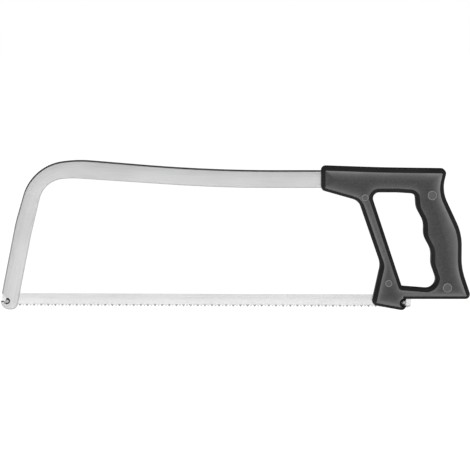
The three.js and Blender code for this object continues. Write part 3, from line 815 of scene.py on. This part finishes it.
def make_plug_plastic():
    material, tree, shader = new_material("black_plug_plastic")
    place = object_place(tree)
    pebble = place_group(tree, PEBBLE, place, Grains_per_metre=2200.0)
    worn = place_group(tree, HANDLED, place, Patches_per_metre=120.0)
    # Painted highlight: the raised rim is given a pale tone.
    rim = ramp_between(tree, distance_from_middle(tree, place), *PLUG_RIM_FACE)
    dish = tone_between(tree, pebble.outputs["Speck"], *DISH_TONES)
    rough = ramp_between(tree, worn.outputs["Patch"], 0.0, 1.0, 0.5, 0.42)
    coat(tree, shader, tone_between(tree, rim, dish, PLUG_RIM_HIGHLIGHT), rough)
    shader.inputs["Specular IOR Level"].default_value = 0.25
    raise_bump(tree, shader, pebble.outputs["Height"], depth=0.05 * MM, strength=0.4)
    return material


PLUG_PLASTIC = make_plug_plastic()


# %% Dress a finished piece
def dress(piece, material, body, slot, *nodes):
    piece.data.materials.clear()
    piece.data.materials.append(material)
    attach(piece, body)
    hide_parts(*nodes)
    print(piece.name, "has", faces_of(piece), "triangles and stands for", ", ".join(nodes))


# %% [markdown]
# ## The bow
# The bow is a flat bar that was bent on edge. It is drawn as one closed outline, extruded to the bar's
# thickness and rounded along its rim. The brushed lines have to follow the bend, so the finished bar is
# sliced across at many stations, and each corner of a slice keeps how far along the bar it lies, and how
# far from its middle.

# %% Draw the bar
BAR_START = -112
BAR_EDGE = 1.65
BOW_OUTER = [
    (BAR_START, 70.5, 0),
    (-234, 70.5, 1610),
    (-366.4, 81.38, 127),
    (-413.1, 75.78, 48),
    (-430, 17.78, 200),
    (-447.72, -70.52, 8.97),
]
BOW_INNER = [
    (BAR_START, 52.6, 0),
    (-223, 52.6, 1453),
    (-371.23, 62.4, 84.5),
    (-400.75, 60.65, 26.4),
    (-414.15, 5.78, 200),
    (-429.47, -70.52, 6.46),
]
ARC_PIECES = 14


def edge_points(corners, after_last):
    row = corners + [after_last]
    points = [Vector(row[0][:2])]
    for i in range(1, len(corners)):
        points += corner_arc(row[i - 1], row[i], row[i + 1], ARC_PIECES)
    return points


def make_bar():
    outer = edge_points(BOW_OUTER, BOW_INNER[-1])
    inner = edge_points(BOW_INNER, BOW_OUTER[-1])
    bar = slab_piece("bow", outer + inner[::-1], -BAR_FACE, BAR_FACE)
    rounded = 0
    for y in (-BAR_FACE, BAR_FACE):
        rounded += round_edges(bar, is_rim_at(y), BAR_EDGE * MM, steps=4)
    print("rounded", rounded, "edges of the bar")
    return bar, [(a + b) / 2 for a, b in zip(outer, inner)]


bow, bar_middle = make_bar()

# %% [markdown]
# The toe holds the blade's front pin in a seat that opens forward, with a saw cut for the blade down its
# middle. These are plain cuts, so each is a simple solid taken away by a Boolean modifier that is applied
# at once. The seat and the ledge in front of it are countersunk, which draws the dark line round them.

# %% Cut the toe
TOE_SEAT = 2.9
TOE_SEAT_SHIFT = 0.5
TOE_LEDGE = 0.2
TOE_COUNTERSINK = 0.3
SINK_SIDES = 58
LEDGE_BEVEL = 0.75
LEDGE_BEVEL_END = 0.7
MOUTH_FROM_PIN = 1
MOUTH_SLOPE = math.tan(math.radians(47))
KERF = 1.8
TOE_KERF_ABOVE_PIN = 10.96
REACH = 30
CLEAR = 0.3


def toe_notch():
    x, z = TOE_PIN.x / MM, TOE_PIN.z / MM
    seat_x = x - TOE_SEAT_SHIFT
    top = z + TOE_SEAT
    mouth = [
        (x - REACH, z - TOE_LEDGE),
        (seat_x, z - TOE_LEDGE),
        (seat_x, top),
        (x - MOUTH_FROM_PIN, top),
        (x - REACH, top + (REACH - MOUTH_FROM_PIN) * MOUTH_SLOPE),
    ]
    seat = Vector((seat_x * MM, 0, TOE_PIN.z))
    beyond = BAR_FACE + CLEAR * MM
    yield slab_piece("mouth_cut", [Vector(p) for p in mouth], -beyond, beyond)
    yield rod_piece("seat_cut", seat, TOE_SEAT * MM, -2 * beyond, 2 * beyond)
    wide = (TOE_SEAT + TOE_COUNTERSINK + CLEAR) * MM
    narrow = (TOE_SEAT - CLEAR) * MM
    inside = BAR_FACE - (TOE_COUNTERSINK + CLEAR) * MM
    yield cone_piece("near_sink", seat, wide, narrow, -beyond, -inside, SINK_SIDES)
    yield cone_piece("far_sink", seat, narrow, wide, inside, beyond, SINK_SIDES)


def toe_ledge_edge(y):
    thick = LEDGE_BEVEL * math.sqrt(2) * MM
    middle_x = TOE_PIN.x - (REACH / 2 + LEDGE_BEVEL_END) * MM
    bpy.ops.object.select_all(action="DESELECT")
    bpy.ops.mesh.primitive_cube_add(
        size=1,
        location=(middle_x, y, TOE_PIN.z - TOE_LEDGE * MM),
        rotation=(math.pi / 4, 0, 0),
        scale=(REACH * MM, thick, thick),
    )
    return settle_new("ledge_edge")


def toe_kerf():
    low = (TOE_PIN.x - REACH * MM, -KERF / 2 * MM, TOE_PIN.z - REACH * MM)
    high = (TOE_PIN.x + REACH * MM, KERF / 2 * MM, TOE_PIN.z + TOE_KERF_ABOVE_PIN * MM)
    return box_piece("blade_cut", low, high)


carve(bow, toe_kerf(), *toe_notch(), toe_ledge_edge(-BAR_FACE), toe_ledge_edge(BAR_FACE))
print("toe cut,", faces_of(bow), "triangles")

# %% [markdown]
# Slicing is done with the bisect operator, at a station every few millimetres, and only on the faces near
# it. The UV map is then written corner by corner from the nearest stretch of the bar's middle line.

# %% Slice the bar across
STATION_STEP = 6
STATION_REACH = 48


def stations_along(middle):
    stops = []
    run, next_stop = 0.0, STATION_STEP
    for a, b in zip(middle, middle[1:]):
        length = (b - a).length
        while next_stop < run + length:
            stops.append((a.lerp(b, (next_stop - run) / length), (b - a).normalized()))
            next_stop += STATION_STEP
        run += length
    return stops


def is_near(place):
    return lambda face: any((v.co - place).length < STATION_REACH * MM for v in face.verts)


def slice_across(piece, middle):
    stops = stations_along(middle)
    for spot, along in stops:
        place = Vector((spot.x * MM, 0, spot.y * MM))
        open_on_faces(piece, is_near(place))
        bpy.ops.mesh.bisect(plane_co=place, plane_no=(along.x, 0, along.y))
    close_edit()
    print("sliced at", len(stops), "stations,", faces_of(piece), "triangles")


slice_across(bow, bar_middle)

# %% Write the places along the bar
def place_along(middle, spot):
    best, run = None, 0.0
    for a, b in zip(middle, middle[1:]):
        along = b - a
        length = max(along.length, 1e-9)
        share = max(0.0, min(1.0, (spot - a).dot(along) / length**2))
        offset = spot - a - along * share
        if best is None or offset.length < best[0]:
            left = along.x * offset.y - along.y * offset.x
            best = (offset.length, run + share * length, math.copysign(offset.length, left))
        run += length
    return best[1] * MM, best[2] * MM


def write_places(piece, middle):
    spots = {}
    for vertex in piece.data.vertices:
        u, v = place_along(middle, Vector((vertex.co.x, vertex.co.z)) / MM)
        spots[vertex.index] = (u, v)
    while piece.data.uv_layers:
        piece.data.uv_layers.remove(piece.data.uv_layers[0])
    layer = piece.data.uv_layers.new(name="along_bar")
    for loop in piece.data.loops:
        layer.data[loop.index].uv = spots[loop.vertex_index]
    return max(u for u, _ in spots.values()) / MM


print("bar is", round(write_places(bow, bar_middle)), "mm along its middle")

# %% [markdown]
# The part of the bow that hides inside the handle comes from the solid, cut off just behind the nose and
# joined on.

# %% Join the part inside the handle
HIDDEN_FROM = -115


def add_hidden_steel(piece):
    hidden = copy_of("bow_frame", "hidden_steel")
    open_whole(hidden)
    bpy.ops.mesh.bisect(
        plane_co=(HIDDEN_FROM * MM, 0, 0),
        plane_no=(1, 0, 0),
        use_fill=True,
        clear_inner=True,
    )
    close_edit()
    hidden.data.uv_layers.new(name="along_bar")
    pick(piece)
    hidden.select_set(True)
    bpy.ops.object.join()


add_hidden_steel(bow)
finish_surface(bow)
dress(bow, BOW_STEEL, "frame_and_handle", "bow_steel", "bow_frame")

# %% [markdown]
# ## The blade
# The solid already has the true tooth line, with the tips set to either side in turn. A merged copy keeps
# it. It is shaded flat tooth by tooth, because the bent teeth of the far row mirror the dim room and read
# as dark dots.

# %% Finish the blade
def make_blade():
    blade = copy_of("blade", "toothed_blade")
    finish_surface(blade, degrees=4)
    return blade


toothed_blade = make_blade()
dress(toothed_blade, BLADE_STEEL, "blade_unit", "blade_steel", "blade")

# %% [markdown]
# ## The pins
# Each pin is a short turned rod through the blade. It starts as a cylinder, gets a rounded edge at both
# ends, and each end face is inset and pushed in a little, which is the mark that peening leaves.

# %% Turn the pins
PIN_RADIUS = 2.0
PIN_EDGE = 0.5
PEEN_INSET = 0.55
PEEN_DEPTH = 0.12
FACING = 0.99


def make_pin(node, name):
    low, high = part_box(node)
    pin = rod_piece(name, centre_of(node), PIN_RADIUS * MM, low.y, high.y, sides=48)
    for y in (low.y, high.y):
        round_edges(pin, is_rim_at(y), PIN_EDGE * MM, steps=4)
    open_on_faces(pin, lambda face: abs(face.normal.y) > FACING)
    bpy.ops.mesh.inset(thickness=PEEN_INSET * MM, depth=-PEEN_DEPTH * MM, use_individual=True)
    close_edit()
    finish_surface(pin, degrees=40)
    return pin


toe_pin = make_pin("toe_pin", "front_pin")
dress(toe_pin, TOE_PIN_STEEL, "blade_unit", "pin_steel", "toe_pin")
heel_pin = make_pin("heel_pin", "rear_pin")
dress(heel_pin, HEEL_PIN_SHADED_STEEL, "blade_unit", "pin_steel", "heel_pin")

# %% [markdown]
# ## The handle
# The handle is a D with generous rounded edges and a wavy grip. One half is drawn as a closed outline and
# extruded to the parting plane, then the finger opening is cut, and only then are the outer edges rounded,
# so that the rounding runs round the opening too. The narrow strips along the parting line are split into
# triangles, because long bent faces can tear under a later cut. The steel, the blade and the rear pin get
# their pockets last.

# %% Draw the handle
EDGE_ROUNDING = 4.6
PARTING_EDGE = 0.22
OPENING_CUT = (-15 * MM, 5 * MM)
OUTER_CORNER = 4.8
FOOT_REAR = -36.9
HANDLE_CORNERS = [
    (-123, 75.2, OUTER_CORNER),
    (-123, 50.9, OUTER_CORNER),
    (-85.4, 40.2, 12),
    (-63, -24.2, 18),
    (-71.9, -65.1, OUTER_CORNER),
    (FOOT_REAR, -71.4, OUTER_CORNER),
    (FOOT_REAR, -59.2, 0),
    (29.2, -59.2, OUTER_CORNER),
    (18.6, -28.2, 65),
    (18.6, 7, 55),
    (-1.8, 50.4, 34),
    (3.6, 72.2, OUTER_CORNER),
    (-62, 73.05, 1500),
]
RIDGE_TOP = Vector((-27.7, 32.9))
RIDGE_STEP = Vector((7.55, -28.4))
RIDGE_DEPTH = Vector((4, 0))
RIDGE_RADIUS = 20


def opening_corners():
    corners = [(-73.2, 48.5, 6), (-47, 48.5, 60), (-28.9, 47.3, 5)]
    for i in range(3):
        ridge = RIDGE_TOP + RIDGE_STEP * i
        corners.append((*ridge, RIDGE_RADIUS))
        if i < 2:
            corners.append((*(ridge + RIDGE_STEP / 2 + RIDGE_DEPTH), RIDGE_RADIUS))
    return corners + [(-3.4, -49.7, 9.3), (-41.2, -46.7, 1.5), (-45.9, -33, 60)]


def is_parting_strip(face):
    lowest = PARTING_FACE - 2 * PARTING_EDGE * MM
    return face.normal.y < FACING and all(v.co.y > lowest for v in face.verts)


def split_parting_strips(half):
    open_on_faces(half, is_parting_strip)
    bpy.ops.mesh.quads_convert_to_tris()
    close_edit()


def make_half_blank():
    half = slab_piece("handle_near", closed_outline(HANDLE_CORNERS), HANDLE_FACE, PARTING_FACE)
    opening = slab_piece("opening_cut", closed_outline(opening_corners()), *OPENING_CUT)
    carve(half, opening)
    rounded = round_edges(half, is_rim_at(HANDLE_FACE), EDGE_ROUNDING * MM, steps=8)
    parted = round_edges(half, is_rim_at(PARTING_FACE), PARTING_EDGE * MM, steps=2)
    split_parting_strips(half)
    print("rounded", rounded, "edges of the face and", parted, "of the parting line")
    return half


handle_near = make_half_blank()

# %% [markdown]
# The pocket for the steel is cut with a copy of the bow's own solid, made fatter by the clearance. The
# dish round the rear pin is a cone, and the pin's way in and the blade's saw cut are boxes and a rod at
# the pin's place.

# %% Cut the pockets
POCKET_GAP = 0.3
PIN_HALF = 4.9
HEEL_SEAT = 2.5
HEEL_KERF_ABOVE_PIN = 9.32
HEEL_KERF_AHEAD = 64
SCOOP_AT_FACE = 5.2
SCOOP_AT_FLOOR = 4.3
SCOOP_FLOOR = 6.9
PAST_FACE = 12


def steel_cutter():
    steel = copy_of("bow_frame", "steel_cut")
    open_whole(steel)
    bpy.ops.transform.shrink_fatten(value=POCKET_GAP * MM, use_even_offset=True)
    close_edit()
    return steel


def heel_cutters():
    x, z = HEEL_PIN.x, HEEL_PIN.z
    far = REACH * MM
    seat = HEEL_SEAT * MM
    pin_half = PIN_HALF * MM
    kerf_half = KERF / 2 * MM
    past = PAST_FACE * MM
    front = x - HEEL_KERF_AHEAD * MM
    slot_top = z + HEEL_KERF_ABOVE_PIN * MM
    yield box_piece("blade_cut", (front, -kerf_half, z - far), (x + far, kerf_half, slot_top))
    yield box_piece("pin_drop", (x - seat, -pin_half, z - far), (x + far, pin_half, z))
    yield rod_piece("pin_seat", HEEL_PIN, seat, -past, past)
    yield box_piece("pin_exit", (x, -past, z - seat), (x + far / 2, past, z + seat))
    wide, narrow = SCOOP_AT_FACE * MM, SCOOP_AT_FLOOR * MM
    yield cone_piece("scoop", HEEL_PIN, wide, narrow, HANDLE_FACE - CLEAR * MM, -SCOOP_FLOOR * MM)


carve(handle_near, steel_cutter(), *heel_cutters())
print("pockets cut,", faces_of(handle_near), "triangles")

# %% [markdown]
# The far half is the near half in a mirror. Only the drilling differs: a screw head sits in the near half,
# and a six-sided nut in the far one, so the halves are drilled after the mirroring, each with its own
# cutters.

# %% Mirror the far half
def mirrored(piece, name):
    other = duplicate(piece, name)
    open_whole(other)
    bpy.ops.transform.mirror(constraint_axis=(False, True, False), center_override=(0, 0, 0))
    bpy.ops.mesh.remove_doubles(threshold=MERGE)
    bpy.ops.mesh.normals_make_consistent(inside=False)
    close_edit()
    return other


handle_far = mirrored(handle_near, "handle_far")
print("far half mirrored,", faces_of(handle_far), "triangles")

# %% Drill the halves
DRILL_GAP = 0.2
SHANK = {"front": 1.5, "rear": 2.0}
HEAD_HEIGHT = {"front": 1.8, "rear": 2.2}


def drill_cutters(name, side):
    place = name.split("_")[0]
    low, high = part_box(f"plug_{side}_{name}")
    screw_low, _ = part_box(f"screw_{name}")
    nut_low, nut_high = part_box(f"nut_{name}")
    centre = (low + high) / 2
    gap = DRILL_GAP * MM
    past = PAST_FACE * MM
    radius = (high.x - low.x) / 2 + gap
    yield rod_piece("shank_cut", centre, SHANK[place] * MM + gap, -past, past, sides=32)
    if side == "near":
        head_seat = screw_low.y + HEAD_HEIGHT[place] * MM + gap / 2
        yield rod_piece("head_cut", centre, radius, -past, head_seat)
    else:
        yield rod_piece("plug_cut", centre, radius, low.y - gap, past)
        across = (nut_high.x - nut_low.x) / 2 + gap
        floor_y = nut_low.y - gap / 2
        yield rod_piece("nut_cut", centre, across, floor_y, low.y, sides=6, turn=math.pi / 6)


for name in FASTENINGS:
    carve(handle_near, *drill_cutters(name, "near"))
    carve(handle_far, *drill_cutters(name, "far"))
print("drilled", len(FASTENINGS), "places in each half")

# %% [markdown]
# The flat sides get a painted highlight towards their border, strongest along the top and the palm and
# set edge by edge by the way that edge faces. The dark skin of the rounding starts right at the border,
# but on the undersides a painted light, as from the table below, keeps it pale a little longer. So each
# corner of the mesh keeps two attributes: how strong its painted highlight is, and whether the nearest
# edge looks down. The flat side is first sliced into small cells, so that there are corners to carry them.

# %% Slice the flat sides
CELL = 2.5


def slice_side(half, y):
    lowest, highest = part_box("handle_near_half")
    for axis in (0, 2):
        for i in range(1, int((highest[axis] - lowest[axis]) / (CELL * MM)) + 1):
            open_on_faces(half, lies_at(y))
            spot, normal = [0, 0, 0], [0, 0, 0]
            spot[axis] = lowest[axis] + i * CELL * MM
            normal[axis] = 1
            bpy.ops.mesh.bisect(plane_co=spot, plane_no=normal)
    close_edit()


# %% Know the nearest edge
SAMPLE_STEP = 0.5
NOSE_X = -112
# Strength of the painted border highlight for each way an edge faces.
HIGHLIGHT_NOSE = 0.1
HIGHLIGHT_STRUT = 0.7
HIGHLIGHT_FINGERS = 0.4
HIGHLIGHT_STRUT_REAR = 0.15
HIGHLIGHT_OPENING = 0.6
HIGHLIGHT_UNDER = 0.65


def highlight_outside(spot, outward):
    level = 1.0 if outward.y > 0 else HIGHLIGHT_UNDER
    if outward.x > 0:
        return level * outward.y**2 + outward.x**2
    front = HIGHLIGHT_NOSE if spot.x < NOSE_X else HIGHLIGHT_STRUT
    return level * outward.y**2 + front * outward.x**2


def highlight_in_opening(spot, outward):
    side = HIGHLIGHT_STRUT_REAR if outward.x > 0 else HIGHLIGHT_FINGERS
    return HIGHLIGHT_OPENING * outward.y**2 + side * outward.x**2


def edge_samples(corners, turn, highlight_of):
    loop = closed_outline(corners)
    area = sum(a.x * b.y - a.y * b.x for a, b in zip(loop, loop[1:] + loop[:1]))
    side = math.copysign(turn, area)
    for a, b in zip(loop, loop[1:] + loop[:1]):
        along = b - a
        if along.length < MERGE:
            continue
        outward = Vector((along.y, -along.x)).normalized() * side
        count = math.ceil(along.length / SAMPLE_STEP)
        for i in range(count):
            spot = a + along * (i / count)
            yield spot, outward, highlight_of(spot, outward)


def make_edge_finder():
    samples = list(edge_samples(HANDLE_CORNERS, 1, highlight_outside))
    samples += edge_samples(opening_corners(), -1, highlight_in_opening)
    finder = KDTree(len(samples))
    for i, (spot, _, _) in enumerate(samples):
        finder.insert((spot.x, spot.y, 0), i)
    finder.balance()
    print("edge of the handle known at", len(samples), "points")
    return finder, samples


EDGE_FINDER, EDGE_SAMPLES = make_edge_finder()

# %% Mark the border and the undersides
# How far the painted border highlight reaches in from the border, wider at the palm.
HIGHLIGHT_WIDTH = 3.0
PALM_HIGHLIGHT = Vector((14, 4))
PALM_SPREAD = 18
PALM_EXTRA = 3.5


def mark_border(half):
    painted_highlight = half.data.attributes.new("painted_border_highlight", "FLOAT", "POINT")
    underside = half.data.attributes.new("underside", "FLOAT", "POINT")
    for vertex in half.data.vertices:
        spot = Vector((vertex.co.x, vertex.co.z)) / MM
        _, i, away = EDGE_FINDER.find((spot.x, spot.y, 0))
        _, outward, strength = EDGE_SAMPLES[i]
        palm = math.exp(-((spot - PALM_HIGHLIGHT).length / PALM_SPREAD) ** 2)
        width = HIGHLIGHT_WIDTH + PALM_EXTRA * palm
        painted_highlight.data[vertex.index].value = strength * math.exp(-max(away - EDGE_ROUNDING, 0) / width)
        underside.data[vertex.index].value = max(0.0, -outward.y)


for half, y in ((handle_near, HANDLE_FACE), (handle_far, -HANDLE_FACE)):
    slice_side(half, y)
    finish_surface(half)
    mark_border(half)
dress(handle_near, GRIP_PLASTIC, "frame_and_handle", "grip_plastic", "handle_near_half")
dress(handle_far, GRIP_PLASTIC, "frame_and_handle", "grip_plastic", "handle_far_half")

# %% [markdown]
# ## The plugs
# Eight round plugs close the screw holes flush with the sides. Each has a narrow raised rim round a
# shallow dish. One is made at its place from a cylinder: the outer face is inset twice, the middle pushed
# in, the rim softened.

# %% Make the plugs
PLUG_RIM = 0.8
PLUG_DISH = 0.2
PLUG_EDGE = 0.15


def make_plug(node):
    low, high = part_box(node)
    radius = (high.x - low.x) / 2
    outward = 1 if high.y > 0 else -1
    plug = rod_piece(node.replace("plug", "cap"), (low + high) / 2, radius, low.y, high.y, sides=48)
    open_on_faces(plug, lambda face: face.normal.y * outward > FACING)
    bpy.ops.mesh.inset(thickness=PLUG_RIM * MM)
    bpy.ops.mesh.inset(thickness=PLUG_DISH * MM, depth=-PLUG_DISH * MM)
    close_edit()
    round_edges(plug, is_rim_at(high.y if outward > 0 else low.y), PLUG_EDGE * MM, steps=2)
    finish_surface(plug, degrees=35)
    return plug


for name in FASTENINGS:
    for side in ("near", "far"):
        node = f"plug_{side}_{name}"
        dress(make_plug(node), PLUG_PLASTIC, "frame_and_handle", "plug_plastic", node)

# %% [markdown]
# ## Screws and nuts
# The screws and nuts are shaped rightly in the frame and lie under the plugs, so they stay and only get
# zinc.

# %% Plate the fasteners
for name in FASTENINGS:
    for kind in ("screw", "nut"):
        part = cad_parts[f"{kind}_{name}"]
        part.data.materials.clear()
        part.data.materials.append(ZINC)
print("plated", 2 * len(FASTENINGS), "fasteners")
